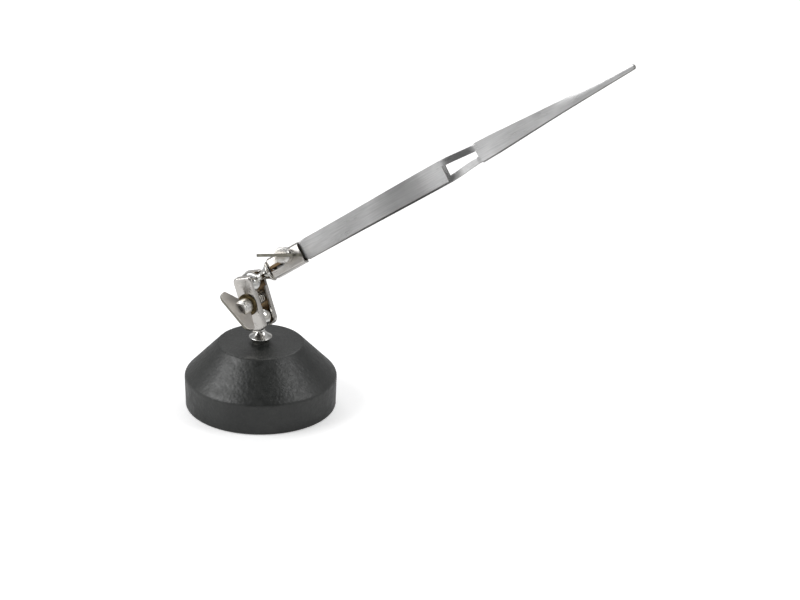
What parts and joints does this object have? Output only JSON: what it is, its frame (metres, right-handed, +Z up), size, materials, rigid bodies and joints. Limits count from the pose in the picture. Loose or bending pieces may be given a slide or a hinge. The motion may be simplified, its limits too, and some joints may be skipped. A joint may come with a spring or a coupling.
{
  "type": "third hand tweezer stand",
  "caption": "Jeweller's third hand: heavy round base, double-ball clamp with butterfly nut, and a small holder gripping cross-locking tweezers at any angle.",
  "frame": {"origin": "centre of the base's underside, where it rests on the bench", "axes": "+Z up; -Y is the front; +X is the side that the tweezers reach out to at rest"},
  "size_m": [0.1801, 0.061, 0.1558],
  "materials": {
    "black_paint": "black textured paint over cast iron, satin",
    "chrome": "turned and polished",
    "nickel_plate": "stamped, satin nickel plate",
    "steel": "polished, bright plated",
    "brushed_stainless": "fine brushed",
    "dark_bronze": "oxidised, dark brown",
    "brass": "turned"
  },
  "bodies": {
    "base": {"base_casting": "black_paint", "base_stud_washer": "steel"},
    "base_stud": {"base_ball_stud": "chrome", "base_stud_nut": "steel"},
    "clamp": {"clamp_plate_rear": "nickel_plate", "clamp_screw": "steel", "clamp_spring": "steel"},
    "clamp_jaw": {"clamp_plate_front": "nickel_plate", "clamp_washer": "dark_bronze"},
    "clamp_nut": {"clamp_nut_hub": "steel", "clamp_nut_blade": "steel"},
    "arm_stud": {"arm_ball_stud": "chrome"},
    "holder": {"holder_sleeve": "nickel_plate", "holder_nut": "nickel_plate"},
    "holder_pad": {"holder_screw_pad": "brass"},
    "holder_thumbscrew": {"holder_screw": "steel", "holder_screw_blade": "steel"},
    "tweezers": {"tweezer_tail_rivet": "steel"},
    "tweezer_front": {"tweezer_arm_front": "brushed_stainless"},
    "tweezer_rear": {"tweezer_arm_rear": "brushed_stainless"}
  },
  "joints": [
    {"name": "base_swivel", "type": "hinge", "parent": "base", "child": "base_stud", "pos_m": [0, 0, 0.0382], "axis": [0, 0, 1], "continuous": true},
    {"name": "clamp_tilt", "type": "hinge", "parent": "base_stud", "child": "clamp", "pos_m": [0, 0, 0.0382], "axis": [0.5446, 0.8387, 0], "range_deg": [-60, 30]},
    {"name": "clamp_opening", "type": "slide", "parent": "clamp", "child": "clamp_jaw", "axis": [-0.5446, -0.8387, 0], "range_m": [0, 0.0007]},
    {"name": "clamp_nut_turn", "type": "hinge", "parent": "clamp_jaw", "child": "clamp_nut", "pos_m": [-0.00505, -0.00328, 0.04518], "axis": [-0.5446, -0.8387, 0], "range_deg": [0, 360]},
    {"name": "arm_tilt", "type": "hinge", "parent": "clamp", "child": "arm_stud", "pos_m": [-0.0041, 0.00266, 0.05217], "axis": [0.5446, 0.8387, 0], "range_deg": [-5, 25]},
    {"name": "arm_roll", "type": "hinge", "parent": "arm_stud", "child": "holder", "pos_m": [-0.0041, 0.00266, 0.05217], "axis": [0.8272, -0.0972, 0.5534], "range_deg": [-180, 180]},
    {"name": "holder_pad_travel", "type": "slide", "parent": "holder", "child": "holder_pad", "axis": [-0.361, -0.8466, 0.391], "range_m": [0, 0.0005]},
    {"name": "holder_screw_turn", "type": "hinge", "parent": "holder_pad", "child": "holder_thumbscrew", "pos_m": [0.01029, -0.00032, 0.06564], "axis": [-0.361, -0.8466, 0.391], "range_deg": [0, 360]},
    {"name": "tweezer_slide", "type": "slide", "parent": "holder", "child": "tweezers", "axis": [0.8272, -0.0972, 0.5534], "range_m": [0, 0.005]},
    {"name": "tweezer_squeeze", "type": "hinge", "parent": "tweezers", "child": "tweezer_front", "pos_m": [0.00861, 0.0022, 0.0611], "axis": [-0.4305, 0.5233, 0.7354], "range_deg": [0, 0.8], "stiffness_Nm_per_rad": 4},
    {"name": "tweezer_squeeze_rear", "type": "hinge", "parent": "tweezers", "child": "tweezer_rear", "pos_m": [0.00861, 0.0022, 0.0611], "axis": [-0.4305, 0.5233, 0.7354], "range_deg": [-0.8, 0], "stiffness_Nm_per_rad": 4}
  ],
  "couplings": [
    {"joint": "clamp_nut_turn", "follows": "clamp_opening", "rad_per_m": 8976},
    {"joint": "holder_screw_turn", "follows": "holder_pad_travel", "rad_per_m": 12566},
    {"joint": "tweezer_squeeze_rear", "follows": "tweezer_squeeze", "ratio": -1}
  ]
}
